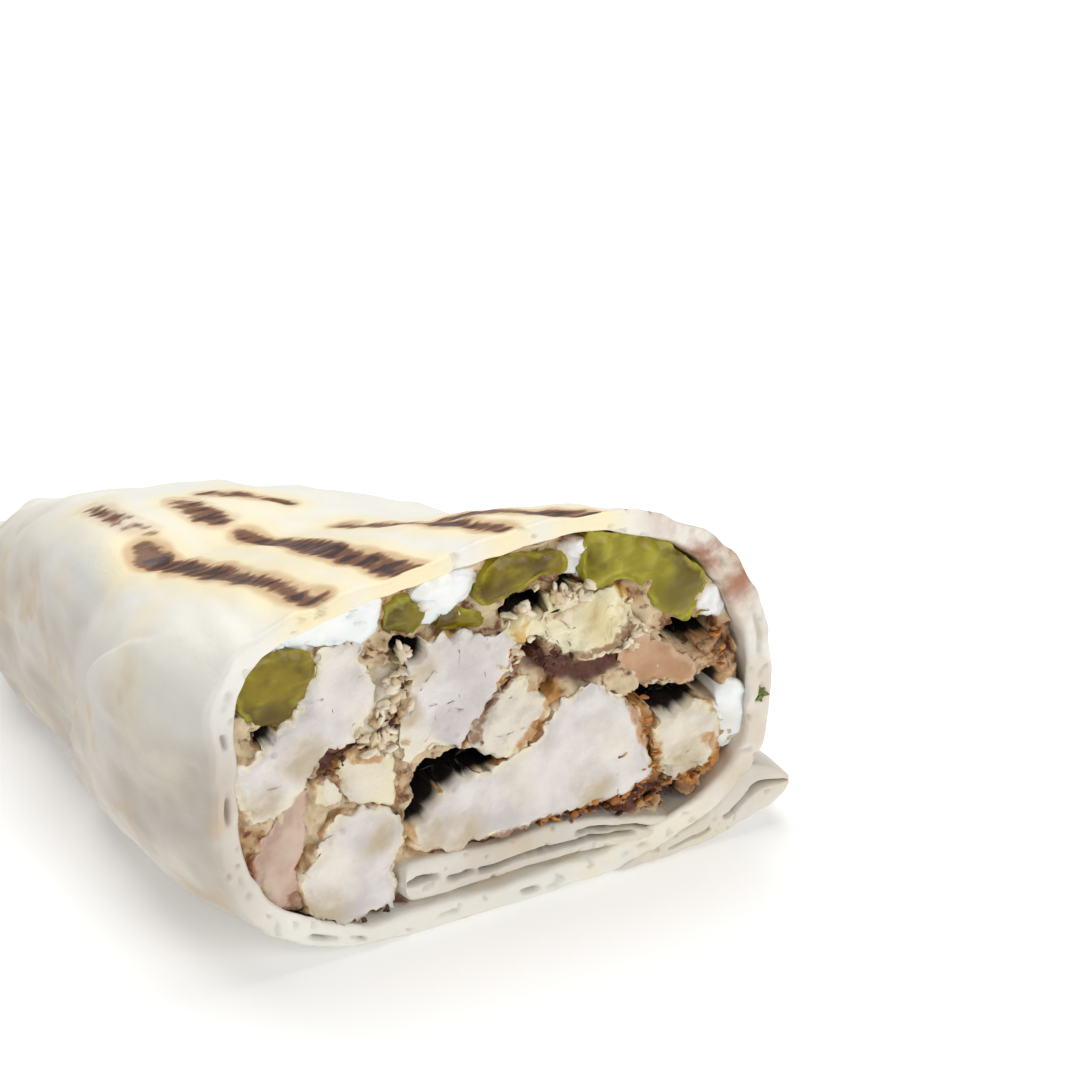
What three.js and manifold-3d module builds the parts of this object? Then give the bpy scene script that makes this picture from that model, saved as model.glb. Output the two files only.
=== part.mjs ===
// Half of a chicken gyro wrap: one thin flatbread rolled round roast chicken, pickles and
// garlic sauce, cut across, with the cut facing -Y and the tucked end at +Y. Millimetres, +Z up.

import * as THREE from "three";
import Module from "manifold-3d";
import { mergeVertices } from "three/addons/utils/BufferGeometryUtils.js";

const wasm = await Module();
wasm.setup();

// ---- driving dimensions -------------------------------------------------------------------

const WALL_SIDE = 3.3; // two rolled layers of flatbread at the sides
const WALL_TOP = 2.5; // the thinner crown
const FLOOR = 3.4; // bread under the filling
const GAP = 0.3; // air kept between neighbouring solids
const END_GAP = 1.2; // air between the filling and the bread at the tucked end
const CAVITY_END = 78; // where the filling stops, behind the cut
const SHOULDER = 87; // where the tucked end begins to close
const WRAP_END = 93; // the tucked end
const PACKED_FROM = 22; // the cut pieces end here and the packed filling begins
const AROUND = 56; // points round a section of the bread
const INSIDE_AROUND = 44; // points round a section of the filling
const SLIT_DEPTH = 4;
const SLIT_WIDTH = 0.5;
const FLAP_LENGTH = 44; // the sheet's free edge merges with the roll over this length
const FLAP_REACH = 4.6; // how far the free edge stands past the roll at the cut
const FLAP_LIFT = 2.6; // height of the free edge's underside above the table
const FLAP_SINK = 8; // how far inside the roll the free edge ends
const FLAP_INSET = 1.2; // the free edge's reach is measured from this far inside the roll
const FLAP_RINGS = 4; // sections along the free edge
const FLAP_CLEARANCE = 0.3; // the free edge stays at least this far above the table
const LEAN_LENGTH = 28; // the crown's slope dies out over this length
const CROWN_LEAN = 0.11; // rise of the crown towards +X at the cut, per mm

const CAVITY_STEP = 8; // sections along the cavity
const CAVITY_CLOSING = 4; // the last stretch of the cavity, which narrows
const CAVITY_CLOSED = 0.6; // to this share of its section
const SLIT_TAPER = 0.25; // width of a slit's ends, as a share of its middle
const OVERCUT = 2; // cutters start this far in front of the cut, so that they open it cleanly
const MERGE_WITHIN = 1e-5; // points closer than this are one point

// Outline of the roll along its length: [distance behind the cut, value].
const LEFT = [[0, -35.4], [10, -38.8], [20, -40.4], [42, -38.8], [66, -38], [78, -36.4], [87, -33.4]];
const RIGHT = [[0, 37], [10, 38.2], [20, 37], [30, 33.4], [42, 26], [66, 8.5], [78, 0], [87, -7.5]];
const CROWN = [[0, 49], [10, 47.2], [20, 43.4], [30, 40.4], [42, 40.6], [54, 36.9], [78, 26.2], [87, 20.6]];
const MIDDLE = [[0, -3], [10, -7], [20, -12], [30, -16], [42, -22], [66, -25], [87, -22]];
const WIDEST_LEFT = [[0, 25], [20, 24], [42, 21], [66, 17], [87, 10]];
const WIDEST_RIGHT = [[0, 19], [20, 16], [30, 14], [54, 12], [78, 10], [87, 8]];
// Squareness of each quarter of the section: 2 is an ellipse, more is squarer.
const SQUARE_TOP_LEFT = [[0, 5.5], [20, 3.8], [42, 3], [66, 2.6], [87, 2.2]];
const SQUARE_TOP_RIGHT = [[0, 2.4], [10, 2.2], [20, 2.05], [30, 1.9], [54, 2], [87, 2.2]];
const SQUARE_BASE_LEFT = [[0, 2.9], [20, 2.7], [42, 2.4], [66, 2.1], [87, 2.1]];
const SQUARE_BASE_RIGHT = [[0, 2.6], [20, 2.8], [42, 2.9], [66, 2.6], [87, 2.2]];
const FLAT_SINK = 0.9; // the round underside is pressed this far into the table

// Where the roll's sections lie, and the rings [share of the way, size] that close its end.
const SECTIONS = [0, 5, 10, 15, 20, 25, 30, 36, 42, 48, 54, 60, 66, 72, 78, 83, SHOULDER];
const CLOSING = [[0.45, 0.88], [0.8, 0.7], [1, 0.42]];
const ROLLED_END_SECTIONS = [0, 12, 24, 36, 50, 64, CAVITY_END];
// The free edge's section: below and above the roll's side, [from the side, height], and its
// tip, [from the tip, height over its underside].
const FLAP_BELOW = [[-21, 0.5], [-13, 0.2], [-9, 0.4]];
const FLAP_TIP = [[-6.4, -0.8], [-1.4, 1], [0, 2.6], [-0.4, 4.4], [-3, 5.8]];
const FLAP_ABOVE = [[-3.4, 9.2], [-8, 9.2]];

// How a cut piece runs back: its rounded front edge, its full length and its torn back end.
const EDGE_LENGTH = 0.9;
const EDGE_SIZE = 0.95;
const FULL_SHARE = 0.6;
const TORN_SIZE = 0.78;
const CORNER_POINTS = 2; // steps round each corner of a piece
const SOFTNESS = { chicken: 0.24, pickle: 0.34, sauce: 0.38 }; // how far round the corners are

// The cut pieces: corners [x, z] on the cut, how far the piece sits back and how long it is.
const CHICKEN = {
  long_slab: { back: 0.3, long: 20, corners: [
    [-31.4, 21.4], [-31.4, 28], [-26.4, 30.8], [-22, 35.6], [-20.8, 40.2], [-16.2, 39.4],
    [-15.8, 35], [-17.4, 29.4], [-21.4, 26.8], [-28.8, 20.2]] },
  crumbly: { back: 1, long: 16, corners: [
    [-15, 38.6], [-11.4, 38], [-11, 33], [-12.8, 28.4], [-14.2, 27], [-16.4, 29.4], [-14.9, 34]] },
  centre_block: { back: 0, long: 19, corners: [
    [-10.2, 38.2], [-8, 38.6], [1.2, 36.4], [2.6, 34.4], [1.5, 30.7], [-2.9, 26.2], [-5.4, 23.2],
    [-8.2, 24.6], [-12.6, 24.2], [-12.3, 27.4], [-10.2, 33.2]] },
  centre_shred: { back: 0.4, long: 15, corners: [
    [0.8, 28.4], [4.1, 29.8], [7.1, 26.8], [5.9, 23.8], [3, 21], [0.2, 20.8], [-3, 23.2], [-1.7, 25.6]] },
  large_slab: { back: 0, long: 21, corners: [
    [-11.4, 11.2], [-11, 16.2], [-7.2, 19], [2.3, 19.4], [6.3, 21.8], [8.6, 25], [12, 26.3],
    [17.2, 23.2], [19.4, 19.8], [20.8, 13.6], [20.2, 11.4], [11.8, 10.6], [-1, 10.2]] },
  right_lump: { back: 0.3, long: 17, corners: [
    [21.6, 20.4], [24.2, 21.4], [28.6, 19.6], [30.4, 15.6], [29.8, 12.6], [26.9, 10.8], [22.6, 11.6],
    [21.8, 15.4]] },
  tan_block: { back: 0.8, long: 18, corners: [
    [18.2, 31.2], [26.2, 26], [26.8, 23.2], [25.8, 22.4], [17.4, 26.4], [16.6, 29.6]] },
  browned_shred: { back: 1.6, long: 13, corners: [
    [27.3, 29.2], [29.6, 27.6], [31.6, 23.4], [31, 22.4], [28.6, 23.4], [27.4, 26.6]] },
  flaked: { back: 0.5, long: 16, corners: [
    [1.8, 37.6], [5, 38.3], [11.6, 38.9], [16.4, 38.2], [19.6, 34.8], [19.2, 33.2], [17, 32.4],
    [11.8, 30.6], [8.4, 32], [4.2, 35.2]] },
  dark_scrap: { back: 4.5, long: 13, corners: [
    [4.8, 32.6], [8, 30.6], [11.8, 29.2], [15.2, 30.4], [15.9, 28.8], [10.2, 27.7], [7.2, 29.2]] },
  pale_lump: { back: 0.5, long: 17, corners: [
    [-19.2, 25.8], [-14.2, 25.2], [-13.2, 22.4], [-12.9, 18.8], [-17.6, 20], [-19, 22.4]] },
  round_chunk: { back: 0, long: 20, corners: [
    [-25, 12.2], [-22.6, 16], [-19.8, 18.4], [-16.8, 18.6], [-13.6, 17.2], [-12.6, 13.4],
    [-12.7, 6.8], [-14.2, 4.4], [-21.4, 4.2], [-24, 6.4]] },
  pink_strip: { back: 0.6, long: 18, corners: [
    [-23.6, 23.4], [-22.9, 20.6], [-24.2, 16.2], [-25.8, 12.4], [-25, 7.6], [-27.6, 6.4],
    [-29.8, 9.2], [-29.4, 15.8], [-26.6, 20]] },
  finger: { back: 0.4, long: 11, corners: [
    [-22, 24.6], [-20.9, 23.6], [-20.2, 21], [-20.9, 20], [-22, 21.4]] },
  sliver: { back: 2.5, long: 12, corners: [
    [-12.6, 23], [-8.6, 23.4], [-10, 21.4], [-11.4, 18.6], [-11.6, 17.4], [-12.1, 19.2]] },
  bottom_scraps: { back: 1.5, long: 14, corners: [
    [12.4, 9.6], [20, 10], [27.4, 9.8], [28.4, 8.4], [25.6, 6.8], [20, 7.8], [14, 8.9]] },
};
const PICKLE = {
  left_wedge: { back: 0.4, long: 12, corners: [
    [-30.4, 32.4], [-30.6, 40.8], [-27.5, 41.6], [-22.2, 40.4], [-21.6, 37.4], [-26.2, 32.2]] },
  small_wedge: { back: 0.6, long: 9, corners: [
    [-13.2, 41.3], [-13, 44.3], [-9.8, 44.6], [-8.7, 40.6], [-11, 38.7]] },
  half_slice: { back: 0.8, long: 8, corners: [
    [-7.3, 39.6], [-6, 41.4], [-3.6, 41.2], [-0.6, 39.2], [-0.4, 38.2], [-3.8, 38.5]] },
  round_slice: { back: 0.2, long: 9, corners: [
    [-2.4, 42.6], [-0.8, 45.4], [3.6, 46.3], [8.3, 45.1], [10.2, 42.6], [4.6, 42.1], [-0.6, 41]] },
  tucked_slice: { back: 3, long: 9, corners: [
    [4.8, 41.3], [9.9, 41.6], [9.8, 40], [6, 39.7]] },
  big_slice: { back: 0.3, long: 13, corners: [
    [11.8, 40.2], [11.9, 46], [14.6, 46.6], [20.4, 44.6], [24.6, 40.6], [27.8, 37], [27.4, 33.6],
    [25.4, 31], [21.9, 33.4], [19.2, 38.4], [15.8, 39.6]] },
  end_bit: { back: 1, long: 6, corners: [
    [26.9, 31.2], [28.2, 32.8], [29.6, 31.6], [28.9, 30.2], [27.6, 30.2]] },
};
const SAUCE = {
  left: { back: 0.8, long: 18, corners: [
    [-27, 43.2], [-22, 44.6], [-14.4, 45.4], [-14.2, 42.8], [-14.4, 40.4], [-19.6, 41.2], [-21.2, 41.8]] },
  middle: { back: 1, long: 16, corners: [
    [-9, 45], [-2, 46], [-3.2, 43.8], [-3.2, 42.4], [-6.2, 42.2], [-7.9, 40.6], [-8, 42.4]] },
  right: { back: 1, long: 16, corners: [
    [30.9, 21.4], [32.3, 20.8], [33, 17], [32, 13.2], [31, 12.8], [31.4, 15.6], [30.4, 18.6]] },
};
// Top of the folded inner end of the sheet, which lies on the floor of the roll: [x, z].
const ROLLED_END_TOP = [
  [-12.2, 6.4], [-12, 9.2], [-10.4, 9.8], [-6, 9.6], [0, 9.3], [8, 9.2], [12, 8.5], [16, 7.6], [21, 6.4],
  [27, 4.8],
];
const ROLLED_END_BASE = [[27, 1.8], [-11, 1.8], [-12, 4.4]];
// Middle lines of the gaps that show between the layers at the cut: [x, z].
const SLITS = [
  [[-9.4, 7], [-5.6, 6.9], [2, 6.2], [11.6, 6.4], [18.4, 5.2]],
  [[-4, 4.5], [6, 4.6], [15, 4], [21, 3], [24.4, 2.4]],
  [[26, 2.4], [29.4, 4], [34, 5.4], [38.4, 6.2]],
  [[-33.9, 13], [-34.1, 22], [-33.9, 30], [-33.2, 38]],
];

// ---- helpers ------------------------------------------------------------------------------

// Smooth value of a table [[place, value], ...] at a place along the roll.
function along(table, place) {
  const last = table.length - 1;
  const y = Math.min(Math.max(place, table[0][0]), table[last][0]);
  let i = 0;
  while (i < last - 1 && y > table[i + 1][0]) i += 1;
  const slope = (k) => {
    const before = table[Math.max(k - 1, 0)];
    const after = table[Math.min(k + 1, last)];
    return (after[1] - before[1]) / (after[0] - before[0]);
  };
  const step = table[i + 1][0] - table[i][0];
  const t = (y - table[i][0]) / step;
  const blend = t * t * (3 - 2 * t);
  const leave = t * (1 - t) * (1 - t) * slope(i) * step;
  const arrive = t * t * (t - 1) * slope(i + 1) * step;
  return table[i][1] * (1 - blend) + table[i + 1][1] * blend + leave + arrive;
}

// A ring round the roll at a distance behind the cut, drawn in by the wall's thickness.
function section(y, count, wall = { side: 0, top: 0, floor: 0 }) {
  const left = along(LEFT, y) + wall.side;
  const right = along(RIGHT, y) - wall.side;
  const top = along(CROWN, y) - wall.top;
  const middle = along(MIDDLE, y);
  const lean = CROWN_LEAN * Math.max(0, 1 - y / LEAN_LENGTH);
  const ring = [];
  for (let k = 0; k < count; k += 1) {
    const angle = (2 * Math.PI * k) / count;
    const c = Math.cos(angle);
    const s = Math.sin(angle);
    const onRight = c >= 0;
    const upper = s >= 0;
    const waist = along(onRight ? WIDEST_RIGHT : WIDEST_LEFT, y);
    const upperSquare = along(onRight ? SQUARE_TOP_RIGHT : SQUARE_TOP_LEFT, y);
    const lowerSquare = along(onRight ? SQUARE_BASE_RIGHT : SQUARE_BASE_LEFT, y);
    const power = upper ? upperSquare : lowerSquare;
    const reach = (Math.abs(c) ** power + Math.abs(s) ** power) ** (1 / power);
    const halfWidth = onRight ? right - middle : middle - left;
    const halfHeight = upper ? top - waist : waist - wall.floor + FLAT_SINK;
    const x = middle + (halfWidth * c) / reach;
    const z = waist + (halfHeight * s) / reach + (upper ? (lean * (x - middle) * s) / reach : 0);
    ring.push(new THREE.Vector3(x, y, Math.max(z, wall.floor)));
  }
  return ring;
}

const CAVITY = { side: WALL_SIDE, top: WALL_TOP, floor: FLOOR };
const FILLED = { side: WALL_SIDE + GAP, top: WALL_TOP + GAP, floor: FLOOR + GAP };

// Carries a point of the cut back along the roll, so that pieces follow its taper.
function carry(x, z, y) {
  const inside = (at) => ({
    left: along(LEFT, at) + WALL_SIDE,
    right: along(RIGHT, at) - WALL_SIDE,
    top: along(CROWN, at) - WALL_TOP,
  });
  const front = inside(0);
  const here = inside(y);
  const across = (x - front.left) / (front.right - front.left);
  const up = (z - FLOOR) / (front.top - FLOOR);
  return new THREE.Vector3(
    here.left + across * (here.right - here.left),
    y,
    FLOOR + up * (here.top - FLOOR),
  );
}

// A closed body through a row of rings, each with the same number of points.
function loft(given) {
  const outline = given[0].map((p) => new THREE.Vector2(p.x, p.z));
  const rings = THREE.ShapeUtils.isClockWise(outline) ? given.map((ring) => ring.toReversed()) : given;
  const count = rings[0].length;
  const positions = rings.flat().flatMap((p) => [p.x, p.y, p.z]);
  const index = [];
  for (let r = 0; r + 1 < rings.length; r += 1) {
    for (let k = 0; k < count; k += 1) {
      const a = r * count + k;
      const b = r * count + ((k + 1) % count);
      index.push(a, b, a + count, b, b + count, a + count);
    }
  }
  const flat = rings[0].map((p) => new THREE.Vector2(p.x, p.z));
  const lastRing = (rings.length - 1) * count;
  const flatEnd = rings[rings.length - 1].map((p) => new THREE.Vector2(p.x, p.z));
  for (const [a, b, c] of THREE.ShapeUtils.triangulateShape(flat, [])) index.push(a, c, b);
  for (const [a, b, c] of THREE.ShapeUtils.triangulateShape(flatEnd, [])) {
    index.push(lastRing + a, lastRing + b, lastRing + c);
  }
  const geometry = new THREE.BufferGeometry();
  geometry.setAttribute("position", new THREE.Float32BufferAttribute(positions, 3));
  geometry.setIndex(index);
  return facingOut(geometry);
}

// Turns every face over if the body came out inside out.
function facingOut(geometry) {
  const p = geometry.getAttribute("position");
  const index = Array.from(geometry.index.array);
  const at = (i) => new THREE.Vector3().fromBufferAttribute(p, i);
  let volume = 0;
  for (let i = 0; i < index.length; i += 3) {
    volume += at(index[i]).dot(at(index[i + 1]).cross(at(index[i + 2])));
  }
  if (volume < 0) {
    for (let i = 0; i < index.length; i += 3) {
      [index[i + 1], index[i + 2]] = [index[i + 2], index[i + 1]];
    }
    geometry.setIndex(index);
  }
  return geometry;
}

function toSolid(geometry) {
  const bare = geometry.clone();
  bare.deleteAttribute("normal");
  bare.deleteAttribute("uv");
  const merged = mergeVertices(bare, MERGE_WITHIN);
  return new wasm.Manifold(new wasm.Mesh({
    numProp: 3,
    vertProperties: new Float32Array(merged.getAttribute("position").array),
    triVerts: new Uint32Array(merged.index.array),
  }));
}

function toGeometry(solid) {
  const mesh = solid.getMesh();
  const geometry = new THREE.BufferGeometry();
  geometry.setAttribute("position", new THREE.BufferAttribute(new Float32Array(mesh.vertProperties), 3));
  geometry.setIndex(new THREE.BufferAttribute(new Uint32Array(mesh.triVerts), 1));
  geometry.computeVertexNormals();
  return geometry;
}

// A closed outline through corners [x, z], each corner rounded by a curve.
function rounded(corners, softness) {
  const points = corners.map(([x, z]) => new THREE.Vector2(x, z));
  const path = new THREE.Path();
  points.forEach((here, i) => {
    const before = points[(i + points.length - 1) % points.length];
    const after = points[(i + 1) % points.length];
    const enter = here.clone().lerp(before, softness);
    const leave = here.clone().lerp(after, softness);
    if (i === 0) path.moveTo(enter.x, enter.y);
    else path.lineTo(enter.x, enter.y);
    path.quadraticCurveTo(here.x, here.y, leave.x, leave.y);
  });
  return path.getPoints(CORNER_POINTS).map((p) => [p.x, p.y]);
}

// A strip of even width along a curved middle line on the cut.
function strip(line, width) {
  const curve = new THREE.SplineCurve(line.map(([x, z]) => new THREE.Vector2(x, z)));
  const steps = 3 * (line.length - 1);
  const upper = [];
  const lower = [];
  for (let i = 0; i <= steps; i += 1) {
    const p = curve.getPoint(i / steps);
    const t = curve.getTangent(i / steps);
    const half = (width / 2) * (SLIT_TAPER + (1 - SLIT_TAPER) * Math.sin((Math.PI * i) / steps));
    upper.push([p.x - t.y * half, p.y + t.x * half]);
    lower.unshift([p.x + t.y * half, p.y - t.x * half]);
  }
  return upper.concat(lower);
}

// An outline of the cut carried back through the food: stations are [distance, size].
function runBack(outline, stations) {
  const mean = (axis) => outline.reduce((sum, point) => sum + point[axis] / outline.length, 0);
  const [midX, midZ] = [mean(0), mean(1)];
  return loft(stations.map(([y, size]) => outline.map(
    ([x, z]) => carry(midX + (x - midX) * size, midZ + (z - midZ) * size, y),
  )));
}

// ---- flatbread ----------------------------------------------------------------------------

function rollOutside() {
  const rings = SECTIONS.map((y) => section(y, AROUND));
  const end = rings[rings.length - 1];
  const centre = end.reduce((sum, p) => sum.addScaledVector(p, 1 / AROUND), new THREE.Vector3());
  CLOSING.forEach(([t, size]) => {
    rings.push(end.map((p) => new THREE.Vector3(
      centre.x + (p.x - centre.x) * size,
      SHOULDER + (WRAP_END - SHOULDER) * t,
      centre.z + (p.z - centre.z) * size,
    )));
  });
  return toSolid(loft(rings));
}

function cavity(wall, from, to) {
  const closing = to - CAVITY_CLOSING;
  const places = [from];
  for (let y = 0; y < closing; y += CAVITY_STEP) places.push(y);
  const rings = places.map((y) => section(y, INSIDE_AROUND, wall));
  const last = section(closing, INSIDE_AROUND, wall);
  const middle = last.reduce((sum, p) => sum.addScaledVector(p, 1 / INSIDE_AROUND), new THREE.Vector3());
  rings.push(last);
  rings.push(last.map((p) => new THREE.Vector3(
    middle.x + (p.x - middle.x) * CAVITY_CLOSED,
    to,
    middle.z + (p.z - middle.z) * CAVITY_CLOSED,
  )));
  return toSolid(loft(rings));
}

// The inner end of the sheet, folded over on the floor of the roll.
function rolledEnd(margin) {
  const top = ROLLED_END_TOP.map(([x, z]) => [x < 0 ? x - margin : x, z + margin]);
  const base = ROLLED_END_BASE.map(([x, z]) => [x < 0 ? x - margin : x, z]);
  return toSolid(runBack(base.concat(top), ROLLED_END_SECTIONS.map((y) => [y, 1])));
}

// The free edge of the sheet, which stands out at the lower right and sinks into the roll.
function freeEdge() {
  const rings = [];
  for (let y = 0; y <= FLAP_LENGTH; y += FLAP_LENGTH / FLAP_RINGS) {
    const left = 1 - y / FLAP_LENGTH;
    const side = along(RIGHT, y) - FLAP_SINK * (1 - left) ** 2;
    const tip = side - FLAP_INSET + FLAP_REACH * left;
    const lift = FLAP_LIFT * left;
    const fromSide = ([x, z]) => new THREE.Vector3(side + x, y, z);
    const fromTip = ([x, z]) => new THREE.Vector3(tip + x, y, Math.max(lift + z, FLAP_CLEARANCE));
    rings.push([...FLAP_BELOW.map(fromSide), ...FLAP_TIP.map(fromTip), ...FLAP_ABOVE.map(fromSide)]);
  }
  return toSolid(loft(rings));
}

function flatbread() {
  let bread = rollOutside()
    .add(freeEdge())
    .subtract(cavity(CAVITY, -OVERCUT, CAVITY_END))
    .add(rolledEnd(0).intersect(rollOutside()));
  for (const line of SLITS) {
    const outline = strip(line, SLIT_WIDTH);
    bread = bread.subtract(toSolid(loft([-OVERCUT, SLIT_DEPTH].map(
      (y) => outline.map(([x, z]) => new THREE.Vector3(x, y, z)),
    ))));
  }
  return toGeometry(bread);
}

// ---- filling ------------------------------------------------------------------------------

const room = cavity(FILLED, -OVERCUT, CAVITY_END - END_GAP);
const keptClear = rolledEnd(GAP);

// A cut piece: a slightly rounded front edge, a full middle and a torn, smaller back.
function cutPiece({ corners, back, long }, softness) {
  const outline = rounded(corners, softness);
  const body = runBack(outline, [
    [back, EDGE_SIZE],
    [back + EDGE_LENGTH, 1],
    [back + long * FULL_SHARE, 1],
    [back + long, TORN_SIZE],
  ]);
  return toGeometry(toSolid(body).intersect(room));
}

// What lies behind the cut pieces: the packed filling, up to the tucked end.
function packedFilling() {
  const reach = 2 * WRAP_END;
  const slab = new THREE.BoxGeometry(reach, reach, reach);
  slab.translate(0, PACKED_FROM + GAP + reach / 2, 0);
  return toGeometry(room.intersect(toSolid(slab)).subtract(keptClear));
}

// ---- the object ---------------------------------------------------------------------------

const finish = (color, roughness) => new THREE.MeshStandardMaterial({ color, roughness, metalness: 0 });
const wrap = new THREE.Group();

function addPiece(name, geometry, material) {
  const mesh = new THREE.Mesh(geometry, material);
  mesh.name = name;
  wrap.add(mesh);
}

addPiece("flatbread", flatbread(), finish(0xe9e2cf, 0.7));
addPiece("packed_filling", packedFilling(), finish(0xcdb89a, 0.8));
for (const [name, piece] of Object.entries(CHICKEN)) {
  addPiece(`chicken_${name}`, cutPiece(piece, SOFTNESS.chicken), finish(0xd8cfc8, 0.6));
}
for (const [name, piece] of Object.entries(PICKLE)) {
  addPiece(`pickle_${name}`, cutPiece(piece, SOFTNESS.pickle), finish(0x93903a, 0.3));
}
for (const [name, piece] of Object.entries(SAUCE)) {
  addPiece(`garlic_sauce_${name}`, cutPiece(piece, SOFTNESS.sauce), finish(0xf2f1ee, 0.25));
}

// The origin is the middle of the whole part's box, on the surface that it rests on.
const box = new THREE.Box3().setFromObject(wrap);
const centre = box.getCenter(new THREE.Vector3());
wrap.position.set(-centre.x, -centre.y, -box.min.z);

export default wrap;
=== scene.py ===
"""Half of a chicken gyro wrap, cut across: bread, roast chicken, pickles and garlic sauce.

Metres, +Z up. The cut faces -Y and the roll runs back along +Y to its tucked end.
"""

import math
from itertools import product

import bmesh
import bpy
import numpy as np
from mathutils import Matrix, Vector
from mathutils.kdtree import KDTree


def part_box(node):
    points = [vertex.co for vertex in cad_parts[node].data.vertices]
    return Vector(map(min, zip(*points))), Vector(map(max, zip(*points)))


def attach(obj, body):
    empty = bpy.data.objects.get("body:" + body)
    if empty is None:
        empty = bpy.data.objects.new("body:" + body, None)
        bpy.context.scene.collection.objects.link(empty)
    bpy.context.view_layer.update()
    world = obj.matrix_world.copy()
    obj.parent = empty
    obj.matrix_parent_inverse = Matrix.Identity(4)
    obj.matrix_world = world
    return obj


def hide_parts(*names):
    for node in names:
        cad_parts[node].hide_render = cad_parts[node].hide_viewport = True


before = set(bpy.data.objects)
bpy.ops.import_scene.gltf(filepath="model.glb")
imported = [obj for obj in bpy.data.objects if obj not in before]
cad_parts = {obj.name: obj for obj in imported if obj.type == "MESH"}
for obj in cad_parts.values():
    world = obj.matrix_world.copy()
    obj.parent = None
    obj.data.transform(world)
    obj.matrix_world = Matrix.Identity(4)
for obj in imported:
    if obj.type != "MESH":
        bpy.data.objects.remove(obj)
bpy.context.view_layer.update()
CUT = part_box("flatbread")[0].y  # the plane of the cut; depths are measured behind it
MM = 0.001
BODY = "root"


def mm(numbers):
    """Lengths written in millimetres, as metres."""
    return np.array(numbers, float) * MM


# ---- driving dimensions ----

WALL_SIDE = 3.3 * MM  # two rolled layers of flatbread at the sides
WALL_TOP = 2.5 * MM
FLOOR = 3.4 * MM
SHOULDER = 87 * MM  # where the tucked end begins to close
WRAP_END = 93 * MM
FLAT_SINK = 0.9 * MM
LEAN_LENGTH = 28 * MM
CROWN_LEAN = 0.11
FLAP_LENGTH = 44 * MM
FLAP_SINK = 8 * MM

# The roll's outline along its length: [depth behind the cut, value].
LEFT = mm([[0, -35.4], [10, -38.8], [20, -40.4], [42, -38.8], [66, -38], [78, -36.4], [87, -33.4]])
RIGHT = mm([[0, 37], [10, 38.2], [20, 37], [30, 33.4], [42, 26], [66, 8.5], [78, 0], [87, -7.5]])
CROWN = mm([[0, 49], [10, 47.2], [20, 43.4], [30, 40.4], [42, 40.6], [54, 36.9], [78, 26.2], [87, 20.6]])
MIDDLE = mm([[0, -3], [10, -7], [20, -12], [30, -16], [42, -22], [66, -25], [87, -22]])
WIDEST_LEFT = mm([[0, 25], [20, 24], [42, 21], [66, 17], [87, 10]])
WIDEST_RIGHT = mm([[0, 19], [20, 16], [30, 14], [54, 12], [78, 10], [87, 8]])
# Squareness of each quarter of the section along the roll: 2 is an ellipse, more is squarer.
SQUARE_TOP_LEFT = [[0, 5.5], [0.020, 3.8], [0.042, 3], [0.066, 2.6], [0.087, 2.2]]
SQUARE_TOP_RIGHT = [[0, 2.4], [0.010, 2.2], [0.020, 2.05], [0.030, 1.9], [0.054, 2], [0.087, 2.2]]
SQUARE_BASE_LEFT = [[0, 2.9], [0.020, 2.7], [0.042, 2.4], [0.066, 2.1], [0.087, 2.1]]
SQUARE_BASE_RIGHT = [[0, 2.6], [0.020, 2.8], [0.042, 2.9], [0.066, 2.6], [0.087, 2.2]]
# How the tucked end closes: [share of the way from the shoulder, size of the ring].
END_PROFILE = [[0.2, 0.975], [0.4, 0.92], [0.6, 0.84], [0.76, 0.74], [0.88, 0.63], [0.95, 0.52],
               [0.985, 0.42], [0.99, 0.32], [0.96, 0.24], [0.88, 0.17], [0.76, 0.11], [0.6, 0.05]]

AROUND = 520  # points round a ring of the bread
SKIN_STEP = 0.55 * MM
RIM_STEPS = 14


# ---- shape helpers ----

def along(table, place):
    """Smooth value of a table [[place, value], ...] at any places."""
    at, value = np.asarray(table, float).T
    place = np.clip(np.asarray(place, float), at[0], at[-1])
    first = np.clip(np.searchsorted(at, place) - 1, 0, len(at) - 2)
    index = np.arange(len(at))
    before = np.maximum(index - 1, 0)
    after = np.minimum(index + 1, len(at) - 1)
    slope = (value[after] - value[before]) / (at[after] - at[before])
    step = at[first + 1] - at[first]
    t = (place - at[first]) / step
    blend = t * t * (3 - 2 * t)
    leave = t * (1 - t) ** 2 * slope[first] * step
    arrive = t * t * (t - 1) * slope[first + 1] * step
    return value[first] * (1 - blend) + value[first + 1] * blend + leave + arrive


def ramp(value, start, end):
    """0 before start, 1 after end, smooth between; start may be the larger."""
    t = np.clip((value - start) / (end - start), 0, 1)
    return t * t * (3 - 2 * t)


# Large odd numbers that turn a cell's place and a seed into an even spread of values.
CELL_PRIMES = np.array([73856093, 19349663, 83492791])
SEED_PRIME = 7919
MIXER = 1274126177
WORD, HALF_WORD = 0xFFFFFFFF, 0xFFFF
NOISE_SPREAD = 1.6  # stretches the summed noise to about -1 to 1


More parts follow.
